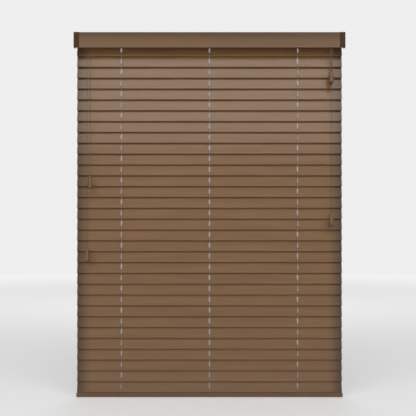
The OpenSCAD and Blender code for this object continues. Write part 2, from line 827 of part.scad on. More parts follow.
module bottom_rail() {
    color(wood) difference() {
        translate([0, 0, rail_mid]) along_x(slat_len) rounded_rect(rail_w, rail_h, rail_r);
        for (x = ladders) {
            translate([x, 0, rail_bottom - cut]) cylinder(d = plug_d, h = plug_depth + cut);
            translate([x, 0, rail_mid]) cylinder(d = cord_hole_d, h = rail_h + 2 * cut, center = true);
            for (s = [-1, 1]) {
                translate([x, s * string_y, rail_mid])
                    cylinder(d = string_hole_d, h = rail_h + 2 * cut, center = true);
            }
        }
    }
}

module bottom_rail_plugs() {
    color(wood_dark) for (x = ladders) translate([x, 0, rail_bottom]) {
        translate([0, 0, -plug_lip]) cylinder(d = plug_d + 2 * plug_rim, h = plug_lip);
        difference() {
            cylinder(d = plug_d - 2 * slip, h = plug_depth - seat_gap);
            cylinder(d = plug_d - 2 * slip - 2 * plug_wall, h = plug_depth);
        }
    }
}

// ---------- hanging cords and what is on them ----------

// Tapered wooden tassel, bored for its cord, with the knot in the hollow of its base; z is its top
module tassel(x, z, h, top_r, base_r, bore_r) {
    edge = 2;
    chamfer = 1;
    translate([x, hang_y, z - h]) {
        difference() {
            rotate_extrude() polygon(concat(
                [[0, 0], [base_r - edge, 0]],
                [for (a = [-90:15:0]) [base_r - edge, edge] + edge * [cos(a), sin(a)]],
                [[base_r * 0.86, h * 0.3], [top_r * 1.15, h * 0.8], [top_r, h - 1.5 * chamfer],
                 [top_r - chamfer, h], [0, h]]));
            translate([0, 0, -cut]) cylinder(r = base_r * 0.6, h = knot_room + cut);
            cylinder(r = bore_r, h = h + cut);
        }
        translate([0, 0, knot_room - tassel_knot_r - join_gap]) sphere(r = tassel_knot_r);
    }
}

module tilt_tassel(x, z) {
    color(tassel_brown) tassel(x, z, tassel_h, tassel_top_r, tassel_base_r, tilt_cord_d / 2 + bore_gap);
}

module tilt_tassel_upper() {
    tilt_tassel(-tilter_x + pulley_r, tassel_high);
}

module tilt_tassel_lower() {
    tilt_tassel(-tilter_x - pulley_r, tassel_low);
}

// One cord hangs on both sides of the tilter's pulley
module tilt_cord() {
    over = bend([-tilter_x, hang_y, worm_z], pulley_r, 0, 180, 10, [1, 0, 0], [0, 0, 1]);
    near = hanging(-tilter_x + pulley_r, tilt_near_z);
    far = hanging(-tilter_x - pulley_r, tilt_far_z);
    color(cord_white) cord(concat(near, over, far), tilt_cord_d);
}

// Three cords from the lock to the condenser, and one from there to the tassel
module pull_cords() {
    color(cord_white) {
        for (y = lane_y) {
            cord(hanging(lock_x + y, concat(pull_three_z, [exit_z - join_gap])), lift_cord_d);
        }
        cord(hanging(lock_x, pull_single_z), lift_cord_d);
    }
}

module cord_condenser() {
    r = condenser_r;
    h = condenser_h;
    color(tassel_brown) translate([lock_x, hang_y, condenser_top - h]) difference() {
        rotate_extrude() polygon([[0, 0], [4, 0], [6.5, 2.5], [r - 1.2, 10], [r, 20], [r, 26],
            [r - 0.4, 26.3], [r - 0.4, 27.2], [r, 27.5], [r, h - 3], [r - 0.8, h - 0.8], [r - 2, h], [0, h]]);
        translate([0, 0, h - condenser_mouth]) cylinder(r = condenser_mouth_r, h = condenser_mouth + cut);
    }
}

module pull_tassel() {
    color(tassel_brown) tassel(lock_x, pull_tassel_top, pull_tassel_h, pull_tassel_top_r,
        pull_tassel_base_r, lift_cord_d / 2 + bore_gap);
}

// ---------- the blind ----------

for (i = [1:slat_count]) slat(i);
headrail();
mounting_brackets();
bracket_doors();
valance_front();
valance_returns();
valance_corners();
valance_clips();
ladder_cradles();
tilter_housing();
cord_lock_body();
cord_lock_roller();
tilt_rod();
tilt_drums();
tilter_wheel();
tilter_worm();
ladder_front_strings();
ladder_rear_strings();
ladder_tops();
ladder_tails();
lift_cords();
bottom_rail();
bottom_rail_plugs();
tilt_cord();
tilt_tassel_upper();
tilt_tassel_lower();
pull_cords();
cord_condenser();
pull_tassel();
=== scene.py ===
# %% [markdown]
# # A wooden venetian blind
# This lesson dresses a blind whose solids were made in CAD: 32 stained wooden slats on three string
# ladders, a boxed valance, a steel headrail with its tilter and cord lock inside, and the cords that hang
# down in front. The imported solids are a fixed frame. Blender gives them their finish, and makes new
# meshes for what is soft or turned: the cords, the ends of the ladders, the tassels and the condenser.

# %% Load the blind
import json
import math

import bmesh
import bpy
from mathutils import Matrix, Vector


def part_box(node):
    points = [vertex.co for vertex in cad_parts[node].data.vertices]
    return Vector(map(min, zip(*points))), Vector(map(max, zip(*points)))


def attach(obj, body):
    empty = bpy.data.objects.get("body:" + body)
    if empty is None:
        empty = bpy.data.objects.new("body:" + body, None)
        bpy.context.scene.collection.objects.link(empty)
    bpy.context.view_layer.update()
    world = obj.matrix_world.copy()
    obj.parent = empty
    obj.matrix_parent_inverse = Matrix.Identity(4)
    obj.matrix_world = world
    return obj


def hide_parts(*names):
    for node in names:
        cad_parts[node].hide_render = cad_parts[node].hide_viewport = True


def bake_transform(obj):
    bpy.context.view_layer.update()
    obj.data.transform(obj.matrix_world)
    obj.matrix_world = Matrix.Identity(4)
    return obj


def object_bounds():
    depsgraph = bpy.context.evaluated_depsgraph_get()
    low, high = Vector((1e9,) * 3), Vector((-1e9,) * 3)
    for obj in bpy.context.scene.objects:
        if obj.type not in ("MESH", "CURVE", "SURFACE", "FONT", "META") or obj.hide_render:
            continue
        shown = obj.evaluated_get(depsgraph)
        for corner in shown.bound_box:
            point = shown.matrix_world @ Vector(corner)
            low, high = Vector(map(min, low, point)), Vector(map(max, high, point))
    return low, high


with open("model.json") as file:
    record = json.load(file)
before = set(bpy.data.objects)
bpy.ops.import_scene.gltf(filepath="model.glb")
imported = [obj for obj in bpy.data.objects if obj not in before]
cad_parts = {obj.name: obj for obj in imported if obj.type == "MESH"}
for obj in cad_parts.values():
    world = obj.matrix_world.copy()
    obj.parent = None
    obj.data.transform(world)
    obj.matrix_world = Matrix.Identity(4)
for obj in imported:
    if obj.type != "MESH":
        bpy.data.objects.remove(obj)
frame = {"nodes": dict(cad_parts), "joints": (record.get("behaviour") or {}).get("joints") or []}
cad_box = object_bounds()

MM = 0.001
scene = bpy.context.scene
low_corner, high_corner = (Vector(corner) for corner in cad_box)
print("blind, in metres:", [round(v, 4) for v in high_corner - low_corner])

# %% [markdown]
# ## The camera
# The blind is seen straight on, from its own middle height and a little over three metres away. A long
# lens at that distance keeps the slats parallel, and it still shows a trace of perspective: the top slats
# are seen from slightly below, which is how the deep shadow lines between them come about.

# %% Camera
CAMERA_PLACE = (-0.006, -3.215, -0.7065)
LENS = 68.4
FARTHEST = 50
camera_data = bpy.data.cameras.new("front_view")
camera_data.lens = LENS
camera_data.clip_end = FARTHEST
camera = bpy.data.objects.new("front_view", camera_data)
camera.location = CAMERA_PLACE
camera.rotation_euler = (math.radians(90), 0, 0)
scene.collection.objects.link(camera)
scene.camera = camera
print("camera at", tuple(round(v, 3) for v in camera.location))

# %% [markdown]
# ## Shader helpers
# Every finish on the blind is a small node tree: a Principled shader, one or two noises, and a little
# arithmetic between them. Image textures would do as well, but a procedural finish needs no files and
# fits a piece of any size. A few helpers keep these trees short, so that a finish reads like a recipe.

# %% Node helpers
NOISE_SPAN = (0.3, 0.7)  # nearly all of a noise lies between these


def new_material(name):
    """A material that is one Principled shader, with its tree and that shader."""
    material = bpy.data.materials.new(name)
    material.use_nodes = True
    tree = material.node_tree
    tree.nodes.clear()
    shader = tree.nodes.new("ShaderNodeBsdfPrincipled")
    output = tree.nodes.new("ShaderNodeOutputMaterial")
    tree.links.new(shader.outputs["BSDF"], output.inputs["Surface"])
    return material, tree, shader


def add(tree, kind, **values):
    """A new node, with its inputs and settings set by name."""
    node = tree.nodes.new(kind)
    for key, value in values.items():
        if key in node.inputs:
            node.inputs[key].default_value = value
        else:
            setattr(node, key, value)
    return node


def feed(tree, socket, value):
    """Gives an input a number, a colour or another node's output."""
    if isinstance(value, (int, float)):
        socket.default_value = value
    elif isinstance(value, tuple):
        socket.default_value = (*value, 1.0)
    else:
        tree.links.new(value, socket)


def set_shader(tree, shader, values):
    """Feeds the shader's inputs that values names."""
    for name, value in values.items():
        feed(tree, shader.inputs[name], value)


def object_place(tree):
    return add(tree, "ShaderNodeTexCoord").outputs["Object"]


def parts_of(tree, vector):
    """The X, Y and Z of a vector."""
    split = add(tree, "ShaderNodeSeparateXYZ")
    tree.links.new(vector, split.inputs["Vector"])
    return split.outputs


def stretched_noise(tree, coordinates, scale, detail=4.0, roughness=0.55, distortion=0.0):
    """Noise whose cells are stretched: scale has one number for each axis."""
    mapping = add(tree, "ShaderNodeMapping", Scale=scale)
    noise = add(tree, "ShaderNodeTexNoise", Scale=1.0, Detail=detail, Roughness=roughness,
                Distortion=distortion)
    tree.links.new(coordinates, mapping.inputs["Vector"])
    tree.links.new(mapping.outputs["Vector"], noise.inputs["Vector"])
    return noise.outputs["Fac"]


def to_range(tree, value, low, high, new_low, new_high, kind="LINEAR"):
    node = add(tree, "ShaderNodeMapRange", interpolation_type=kind)
    for key, number in zip(("From Min", "From Max", "To Min", "To Max"), (low, high, new_low, new_high)):
        node.inputs[key].default_value = number
    tree.links.new(value, node.inputs["Value"])
    return node.outputs["Result"]


def from_noise(tree, noise, low, high):
    """A noise, spread from low to high."""
    return to_range(tree, noise, *NOISE_SPAN, low, high)


def arithmetic(tree, operation, first, second=0.0):
    node = add(tree, "ShaderNodeMath", operation=operation)
    feed(tree, node.inputs[0], first)
    feed(tree, node.inputs[1], second)
    return node.outputs["Value"]


def mix_colour(tree, factor, first, second, blend="MIX"):
    node = add(tree, "ShaderNodeMix", data_type="RGBA", blend_type=blend)
    colours = [s for s in node.inputs if s.type == "RGBA"]
    feed(tree, node.inputs["Factor"], factor)
    feed(tree, colours[0], first)
    feed(tree, colours[1], second)
    return [s for s in node.outputs if s.type == "RGBA"][0]


def shaded(tree, colour, shade):
    """A colour times a shade, where 1 leaves it as it is."""
    return mix_colour(tree, 1.0, colour, shade, "MULTIPLY")


def bump(tree, shader, height, distance):
    node = add(tree, "ShaderNodeBump", Strength=1.0, Distance=distance)
    tree.links.new(height, node.inputs["Height"])
    tree.links.new(node.outputs["Normal"], shader.inputs["Normal"])


# %% [markdown]
# ## Braided cord
# All the cords are braided polyester. The strands of a braid run round the cord in both directions. To
# model them would take thousands of faces on a cord less than two millimetres thick, so two slanting
# stripe patterns that cross make a bump instead. The same pattern paints the colour darker in the grooves
# and lighter on the crowns of the strands, which is painted shade and highlight. The stripes have to
# follow the cord round its bends, and so they read the cord's own UV map: U goes round it and V along
# it, in metres. The ladder yarns stay straight, and there the same pattern can read Object coordinates.
# The three cords above the condenser run through the cord lock at every pull, and its roller has rubbed
# them paler.

# %% Braided cord material
STRANDS = 8
BRAID_PITCH = 2.2         # in diameters
FLAT_TURN = 3             # in diameters, the width that counts as once round a straight cord
# painted shade in the grooves and painted highlight on the crowns of the strands
BRAID_PAINTED_SHADE = (0.62, 1.12)
BRAID_RELIEF = 0.08       # in diameters
TILT_D = 1.6 * MM
PULL_D = 1.8 * MM
LIFT_D = 1.8 * MM
STRING_D = 1.2 * MM


def braid_height(tree, around, along, diameter):
    """Two sets of slanting ridges that cross, from the angle round a cord, 0 to 1, and the way along it."""
    lean = STRANDS / (BRAID_PITCH * diameter)
    ridges = []
    for side in (-1, 1):
        turn = arithmetic(tree, "MULTIPLY", around, STRANDS / 2)
        run = arithmetic(tree, "MULTIPLY", along, side * lean / 2)
        phase = arithmetic(tree, "MULTIPLY", arithmetic(tree, "ADD", turn, run), 2 * math.pi)
        ridges.append(arithmetic(tree, "SINE", phase))
    return arithmetic(tree, "MAXIMUM", *ridges)


def cord_material(name, colour, diameter, own_uv=True):
    """Braid that reads the UV map named run, or else Object coordinates."""
    material, tree, shader = new_material(name)
    if own_uv:
        place = parts_of(tree, add(tree, "ShaderNodeUVMap", uv_map="run").outputs["UV"])
        around, along = place["X"], place["Y"]
    else:
        place = parts_of(tree, object_place(tree))
        around = arithmetic(tree, "MULTIPLY", place["X"], 1 / (FLAT_TURN * diameter))
        along = place["Z"]
    height = braid_height(tree, around, along, diameter)
    # painted shade and highlight of the braid's relief
    shade = to_range(tree, height, -1, 1, *BRAID_PAINTED_SHADE)
    set_shader(tree, shader, {
        "Base Color": shaded(tree, colour, shade),
        "Roughness": 0.85,
        "Sheen Weight": 0.1,
    })
    bump(tree, shader, height, BRAID_RELIEF * diameter)
    return material


BROWN_CORD = (0.070, 0.046, 0.029)
RUBBED_CORD = (0.109, 0.065, 0.040)
LADDER_YARN = (0.27, 0.235, 0.20)
PALE_CORD = (0.33, 0.307, 0.268)
tilt_cord_finish = cord_material("brown_braid", BROWN_CORD, TILT_D)
pull_cord_finish = cord_material("brown_braid_thick", BROWN_CORD, PULL_D)
rubbed_cord_finish = cord_material("brown_braid_rubbed", RUBBED_CORD, PULL_D)
knot_finish = cord_material("brown_braid_knot", BROWN_CORD, PULL_D, own_uv=False)
yarn_finish = cord_material("ladder_yarn", LADDER_YARN, STRING_D)
straight_yarn_finish = cord_material("ladder_yarn_straight", LADDER_YARN, STRING_D, own_uv=False)
lift_cord_finish = cord_material("pale_braid", PALE_CORD, LIFT_D, own_uv=False)
print("cord finishes:", [m.name for m in bpy.data.materials if "braid" in m.name or "yarn" in m.name])

# %% [markdown]
# ## The hanging cords
# A weighted cord hangs straight, so each route here is a short list of heights, in metres, that repeats
# the one in the CAD source. A curve with a bevel could draw it, but a mesh leaves the UV map in our
# hands. The tube helper sets a circle square to the route at every point and bridges each circle to the
# next one. All these routes lie in planes that face the room, so one side of each circle can always look
# along Y, and the tube never twists.

# %% Tubes
ACROSS = Vector((0, 1, 0))


def to_object(bm, name, material, smooth=True):
    """Ends a bmesh: normals outwards, and one object at the origin with its place in its mesh."""
    bmesh.ops.recalc_face_normals(bm, faces=bm.faces)
    mesh = bpy.data.meshes.new(name)
    bm.to_mesh(mesh)
    bm.free()
    for polygon in mesh.polygons:
        polygon.use_smooth = smooth
    mesh.materials.append(material)
    piece = bpy.data.objects.new(name, mesh)
    scene.collection.objects.link(piece)
    return piece


def length_of(route):
    return sum((b - a).length for a, b in zip(route, route[1:]))


def edges_within(bm, *rings):
    """The edges that have both ends in one of the rings."""
    return [e for e in bm.edges if any(all(v in ring for v in e.verts) for ring in rings)]


def tube(name, route, diameter, material, sides=12, end_turn=0.0):
    """A closed tube along a route, with its UV map. The last circle is turned about X by end_turn."""
    bm = bmesh.new()
    rings = []
    for i, point in enumerate(route):
        ahead = (route[min(i + 1, len(route) - 1)] - route[max(i - 1, 0)]).normalized()
        side = ACROSS.cross(ahead).normalized()
        axes = Matrix((side, ahead.cross(side), ahead)).transposed().to_4x4()
        if i == len(route) - 1:
            axes = Matrix.Rotation(end_turn, 4, "X") @ axes
        circle = bmesh.ops.create_circle(bm, segments=sides, radius=diameter / 2,
                                         matrix=Matrix.Translation(point) @ axes)
        rings.append(circle["verts"])
    for first, second in zip(rings, rings[1:]):
        bmesh.ops.bridge_loops(bm, edges=edges_within(bm, first, second))
    for ring in (rings[0], rings[-1]):
        bmesh.ops.contextual_create(bm, geom=edges_within(bm, ring))
    place = {v: (i, k) for i, ring in enumerate(rings) for k, v in enumerate(ring)}
    run = [length_of(route[:i + 1]) for i in range(len(route))]
    uv = bm.loops.layers.uv.new("run")
    for face in bm.faces:
        turns = [place[loop.vert][1] for loop in face.loops]
        wraps = max(turns) - min(turns) > sides / 2
        for loop, k in zip(face.loops, turns):
            around = (k + sides if wraps and k < sides / 2 else k) / sides
            loop[uv].uv = (around, run[place[loop.vert][0]])
    return to_object(bm, name, material)


# %% Pull cords
HANG_Y = -0.035
LOCK_X = 0.490
LANE = 0.0024
LOCK_LIP_Z = -0.038738
UPPER_HEIGHTS = (LOCK_LIP_Z, -0.080, -0.120, -0.161)
SINGLE_HEIGHTS = (-0.211, -0.300, -0.400, -0.500, -0.600, -0.700, -0.768)
for name, x in (("left", LOCK_X - LANE), ("middle", LOCK_X), ("right", LOCK_X + LANE)):
    route = [Vector((x, HANG_Y, z)) for z in UPPER_HEIGHTS]
    cord = tube("pull_cord_" + name, route, PULL_D, rubbed_cord_finish)
    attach(cord, "root")

single_route = [Vector((LOCK_X, HANG_Y, z)) for z in SINGLE_HEIGHTS]
single_cord = tube("pull_cord_single", single_route, PULL_D, pull_cord_finish)
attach(single_cord, "root")
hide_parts("pull_cords")
print("pull cord below the condenser:", round(length_of(single_route), 3), "m")

# %% [markdown]
# ## The tilt cord
# One cord lies over the tilter's pulley, and a tassel hangs on each end. Pulling one tassel down lifts
# the other, so each half of the cord has to grow or shrink between the pulley, which stays, and its
# tassel, which slides. Each half is a mesh of its own.

# %% Tilt cord
PULLEY_R = 5.9 * MM
PULLEY = Vector((-0.486, HANG_Y, -0.031))
ARC_STEPS = 6
QUARTER = [math.pi / 2 * k / ARC_STEPS for k in range(ARC_STEPS + 1)]
TILT_HEIGHTS = {  # the side of the pulley, and the heights below it
    "upper": (1, (-0.050, -0.100, -0.200, -0.300, -0.400, -0.500, -0.550, -0.614)),
    "lower": (-1, (-0.050, -0.100, -0.200, -0.300, -0.400, -0.500, -0.600, -0.700, -0.800, -0.9076)),
}
for name, (side, heights) in TILT_HEIGHTS.items():
    arc = [PULLEY + PULLEY_R * Vector((side * math.sin(a), 0, math.cos(a))) for a in QUARTER]
    route = arc + [Vector((PULLEY.x + side * PULLEY_R, HANG_Y, z)) for z in heights]
    cord = tube("tilt_cord_" + name, route, TILT_D, tilt_cord_finish)
    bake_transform(cord)
    print("tilt cord to the", name, "tassel:", round(length_of(route), 3), "m")
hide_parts("tilt_cord")

# %% [markdown]
# ## Lacquered wood
# The slats, the boards and the turned pieces are light hardwood, stained brown and lacquered. Grain runs
# along the wood, so the noise that makes it is stretched that way: broad streaks, then fine lines, then
# short pores. A picture of wood would repeat from slat to slat, and noise doesn't. The colour is also
# painted darker towards a slat's ends, a valance board's upper edge and a turned piece's foot, as shade
# there. A thin coat over the stain gives the satin sheen.

# %% Wood
LIGHT_STREAK = 0.8                  # shares of the contrast
LINE_DARK, LINE_LIGHT = 0.55, 0.45
PORE_DARK = 1.6
PORE_SPAN = (0.62, 0.78)            # only the peaks of a noise make pores
PORE_FINENESS = 3.1                 # times as fine as the lines
PORE_DEPTH = 0.6                    # of the lines' depth
PAINTED_FOOT_SHADE_SPAN = (0.75, 1.1)        # where a foot's painted shade fades out, on V
WOOD_SPECULAR = 0.15


def wood_colour(tree, coordinates, colour, streak, fine, contrast):
    """Stained wood: broad streaks, fine grain lines and short dark pores, all stretched along the grain."""
    broad = stretched_noise(tree, coordinates, streak, detail=3.0, distortion=0.4)
    lines = stretched_noise(tree, coordinates, fine, detail=5.0, roughness=0.65)
    pores = stretched_noise(tree, coordinates, tuple(PORE_FINENESS * s for s in fine), detail=2.0)
    dark = tuple(c * (1 - contrast) for c in colour)
    light = tuple(c * (1 + LIGHT_STREAK * contrast) for c in colour)
    base = mix_colour(tree, from_noise(tree, broad, 0.0, 1.0), dark, light)
    line_shade = from_noise(tree, lines, 1 - LINE_DARK * contrast, 1 + LINE_LIGHT * contrast)
    pore_shade = to_range(tree, pores, *PORE_SPAN, 1.0, 1 - PORE_DARK * contrast)
    return shaded(tree, shaded(tree, base, line_shade), pore_shade), lines, pores


def darker_beyond(tree, coordinates, axis, start, stop, least):
    """1 up to start, and smoothly down to least at stop, on the size of one Object coordinate."""
    value = arithmetic(tree, "ABSOLUTE", parts_of(tree, coordinates)[axis])
    return to_range(tree, value, start, stop, 1.0, least, kind="SMOOTHSTEP")


def wood_material(name, colour, streak, fine, contrast, gloss=(0.45, 0.56), grain_depth=0.02 * MM, coat=0.5,
                  coat_roughness=0.18, own_tone=0.0, edge=None, painted_foot_shade=None):
    """Lacquered wood, with streak and fine as the scales of its grain and gloss as a range of roughness.

    own_tone is how far the tone differs from one object to the next. edge says where painted shade darkens
    the wood towards an end or an edge, as the axis, two distances and a shade. painted_foot_shade is the
    painted shade of a turned piece's foot, and the UV map named turning says how far up it goes: V is 1
    there.
    """
    material, tree, shader = new_material(name)
    place = object_place(tree)
    tint, lines, pores = wood_colour(tree, place, colour, streak, fine, contrast)
    if own_tone:
        random = add(tree, "ShaderNodeObjectInfo").outputs["Random"]
        tint = shaded(tree, tint, to_range(tree, random, 0, 1, 1 - own_tone, 1 + own_tone))
    # painted shade: darker towards an end or an edge
    if edge:
        tint = shaded(tree, tint, darker_beyond(tree, place, *edge))
    if painted_foot_shade:
        # painted shade: a turned piece is darker at its foot, fading out near V = 1
        up = parts_of(tree, add(tree, "ShaderNodeUVMap", uv_map="turning").outputs["UV"])["Y"]
        tint = shaded(tree, tint, to_range(tree, up, *PAINTED_FOOT_SHADE_SPAN, painted_foot_shade, 1.0))
    set_shader(tree, shader, {
        "Base Color": tint,
        "Roughness": from_noise(tree, lines, *gloss),
        "Specular IOR Level": WOOD_SPECULAR,
        "Coat Weight": coat,
        "Coat Roughness": coat_roughness,
    })
    height = arithmetic(tree, "SUBTRACT", lines, arithmetic(tree, "MULTIPLY", pores, PORE_DEPTH))
    bump(tree, shader, height, grain_depth)
    return material


# painted shade: the feet of the tassels and the condenser are darkened to 0.38
tassel_finish = wood_material("tassel_wood", (0.150, 0.069, 0.028), streak=(90, 90, 12), fine=(900, 900, 60),
                              contrast=0.18, gloss=(0.37, 0.48), coat=0.42, painted_foot_shade=0.38)
print("finish of the turned pieces:", tassel_finish.name)

# %% [markdown]
# ## Tassels and condenser
# These are turned on a lathe, and spinning a profile round an upright axis is the same thing in a mesh.
# A Screw modifier could spin it too, but bmesh gives the mesh at once, and then each corner's place can
# go into a UV map. Each profile is a list of radius and height pairs, from the hollow in the base, out
# over the rounded foot and up the taper. Edges that the lathe tool leaves sharp get a small bevel. The
# foot is painted darker, as shade at the underside, and the UV map tells the finish how far up that
# goes.

# %% Turned pieces
TURNING_STEPS = 48


def turned(name, profile, centre, material, painted_foot_shade):
    """Spins a profile of (radius, height) pairs, in millimetres, round the upright through centre.

    painted_foot_shade is how far up the painted shade of the foot goes, in millimetres.
    """
    bm = bmesh.new()
    points = [bm.verts.new((centre.x + r * MM, centre.y, centre.z + h * MM)) for r, h in profile]
    edges = [bm.edges.new(pair) for pair in zip(points, points[1:])]
    bmesh.ops.spin(bm, geom=points + edges, cent=centre, axis=(0, 0, 1), angle=2 * math.pi,
                   steps=TURNING_STEPS, use_merge=True, use_duplicate=False)
    bmesh.ops.remove_doubles(bm, verts=bm.verts, dist=0.01 * MM)
    uv = bm.loops.layers.uv.new("turning")
    for face in bm.faces:
        for loop in face.loops:
            loop[uv].uv = (0, (loop.vert.co.z - centre.z) / (painted_foot_shade * MM))
    return to_object(bm, name, material)


def foot_of(node):
    """The middle of a node's foot."""
    low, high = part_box(node)
    return Vector(((low.x + high.x) / 2, (low.y + high.y) / 2, low.z))


# %% Tassels
FOOT_ROUND = 2.0      # millimetres, as all of a profile is
FOOT_STEPS = 6
HOLLOW_TOP = 14.0
HOLLOW_SHARE = 0.6    # of the radius at the base
HOLLOW_BEVEL = 0.3
KNOT_UP = 11.7 * MM
KNOT_R = 2.1 * MM
KNOT_LUMPS = 3
LUMP_WIND = 4         # radians of turn over the knot's radius
LUMP_DEPTH = 0.06     # of the knot's radius


def tassel_profile(height, top_r, base_r, bore_r):
    hollow_r = HOLLOW_SHARE * base_r
    mouth = (hollow_r + HOLLOW_BEVEL, 0.0)
    foot = [(base_r - FOOT_ROUND + FOOT_ROUND * math.sin(a), FOOT_ROUND - FOOT_ROUND * math.cos(a))
            for a in (math.pi / 2 * k / FOOT_STEPS for k in range(FOOT_STEPS + 1))]
    taper = [(base_r * 0.945, height * 0.12), (base_r * 0.9, height * 0.2), (base_r * 0.86, height * 0.3),
             (base_r * 0.43 + top_r * 0.57, height * 0.55), (top_r * 1.13, height * 0.8)]
    crown = [(top_r * 1.07, height - 4.5), (top_r, height - 1.5),
             (top_r - 0.3, height - 0.6), (top_r - 1.0, height)]
    bore = [(bore_r + 0.4, height - 0.05), (bore_r, height - 0.5), (bore_r, HOLLOW_TOP)]
    hollow = [(hollow_r, HOLLOW_TOP), (hollow_r, HOLLOW_BEVEL)]
    return [mouth] + foot + taper + crown + bore + hollow + [mouth]


def knot(name, centre, radius, material):
    """An overhand knot, as a small ball with lumps that wind round it."""
    bm = bmesh.new()
    bmesh.ops.create_icosphere(bm, subdivisions=3, radius=radius, matrix=Matrix.Translation(centre))
    for vert in bm.verts:
        out = vert.co - centre
        turn = math.atan2(out.y, out.x)
        wave = math.sin(KNOT_LUMPS * turn + LUMP_WIND * out.z / radius)
        vert.co = centre + out * (1 - LUMP_DEPTH + LUMP_DEPTH * wave)
    return to_object(bm, name, material)


# Each tassel's height, radii at the top, at the base and of the bore, how far up its foot's painted shade
# goes, and body.
TASSELS = {
    "tilt_tassel_upper": ((51, 5.6, 8.0, 1.2), 5, "tassel_upper"),
    "tilt_tassel_lower": ((51, 5.6, 8.0, 1.2), 5, "tassel_lower"),
    "pull_tassel": ((54, 6.2, 9.5, 1.3), 10, "root"),
}
for node, (sizes, painted_foot_shade, body) in TASSELS.items():
    foot = foot_of(node)
    piece = turned(node + "_turned", tassel_profile(*sizes), foot, tassel_finish, painted_foot_shade)
    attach(piece, body)
    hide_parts(node)
    ball = knot(node + "_knot", foot + Vector((0, 0, KNOT_UP)), KNOT_R, knot_finish)
    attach(ball, body)

# %% Condenser
# how far up the condenser's foot is painted darker, as shade, in millimetres
CONDENSER_PAINTED_FOOT_SHADE = 13
CONDENSER_PROFILE = [
    (0.0, 0.0), (2.6, 0.0), (3.4, 0.3), (4.2, 1.4), (5.2, 3.4), (6.7, 6.0),           # tapered foot
    (8.1, 8.4), (8.9, 10.4), (9.3, 12.6), (9.5, 15.5), (9.5, 25.8),                   # lower cup
    (9.2, 26.2), (9.1, 26.7), (9.2, 27.2), (9.5, 27.6),                               # joint of the cups
    (9.5, 50.2), (9.2, 52.0), (8.5, 53.3), (7.3, 53.95), (4.5, 54.0),                 # upper cup
    (4.2, 53.8), (4.2, 49.2), (4.0, 49.0), (0.0, 49.0),                               # mouth for the cords
]
condenser = turned("cord_condenser_turned", CONDENSER_PROFILE, foot_of("cord_condenser"), tassel_finish,
                   CONDENSER_PAINTED_FOOT_SHADE)
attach(condenser, "root")
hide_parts("cord_condenser")
print("condenser:", len(condenser.data.polygons), "faces")

# %% [markdown]

# %% [markdown]
# ## The ends of the ladders
# Between the headrail and the top slat, and between the bottom slat and the rail, each ladder string
# lengthens on one side and shortens on the other as the slats tilt. These short stretches run from the
# root to the slat. Their slat ends sit at the middle of the slat's round edge, which is the point that the
# string really follows. The slat tilts through 150 degrees, so the last circle of each tube is set 75
# degrees off square, and the string is never pinched flat.

# %% Ladder ends
LADDER_XS = (-0.358, 0.0, 0.358)
GATE_IN = 1 * MM            # from a drum's edge in to the gap where the string leaves the headrail
DRUM_DOWN = 0.2 * MM        # from the top of the CAD's string down to where this one starts
RAIL_OUT = 2.3 * MM         # from a slat's edge out to the hole in the rail
RAIL_HOLE_DOWN = 2 * MM     # from the rail's top
RAIL_HOLE_FLOOR = 3 * MM    # from the rail's underside
joints = {j["name"]: j for j in frame["joints"]}
room_edge = Vector(joints["front_ladder_swing"]["pos_m"]) - Vector(joints["slat_16_tilt"]["pos_m"])
first_slat_z = joints["slat_tilt"]["pos_m"][2]
last_slat_z = joints["slat_32_tilt"]["pos_m"][2]
half_turn = math.radians(joints["slat_tilt"]["range_deg"][1] / 2)
head_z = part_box("headrail")[0].z
rail_low, rail_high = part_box("bottom_rail")
drum_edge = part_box("ladder_tops")[1]
gate_y = drum_edge.y - STRING_D / 2 - GATE_IN


def string_between(name, points):
    """A short string from the root to a slat's edge, which is its last point."""
    piece = tube(name, points, STRING_D, yarn_finish, sides=10, end_turn=half_turn)
    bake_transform(piece)
    return piece


end_strings = {"ladder_tops": [], "ladder_tails": []}
for number, x in enumerate(LADDER_XS, start=1):
    for name, side in (("front", 1), ("rear", -1)):
        edge = Vector((x, side * room_edge.y, side * room_edge.z))
        out = math.copysign(1, edge.y)
        drum = Vector((x, out * (gate_y + GATE_IN), drum_edge.z - DRUM_DOWN))
        gate = Vector((x, out * gate_y, head_z))
        top = string_between(f"ladder_top_{number}_{name}",
                             [drum, gate, edge + Vector((0, 0, first_slat_z))])
        end_strings["ladder_tops"].append(top)
        hole_y = out * (abs(edge.y) + RAIL_OUT)
        anchor = Vector((x, hole_y, rail_low.z + RAIL_HOLE_FLOOR))
        hole = Vector((x, hole_y, rail_high.z - RAIL_HOLE_DOWN))
        tail = string_between(f"ladder_tail_{number}_{name}",
                              [anchor, hole, edge + Vector((0, 0, last_slat_z))])
        end_strings["ladder_tails"].append(tail)
for node, pieces in end_strings.items():
    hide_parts(node)
    print(node, "replaced by", len(pieces), "strings")

# %% [markdown]
# ## Stained slats
# All 32 slats share one finish, with the grain along X. No two slats match. A material for each would
# be a lot to look after, so a little of Object Info's random number shifts the tone of the one. A slat's
# node holds its ladder rungs too. They lie under it, so a face that is further from the slat's middle
# than its underside belongs to a rung, and gets the yarn.

# %% Slats
STAIN = (0.178, 0.092, 0.038)
UNDERSIDE = -1.55 * MM
slat_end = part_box("slat_16")[1].x
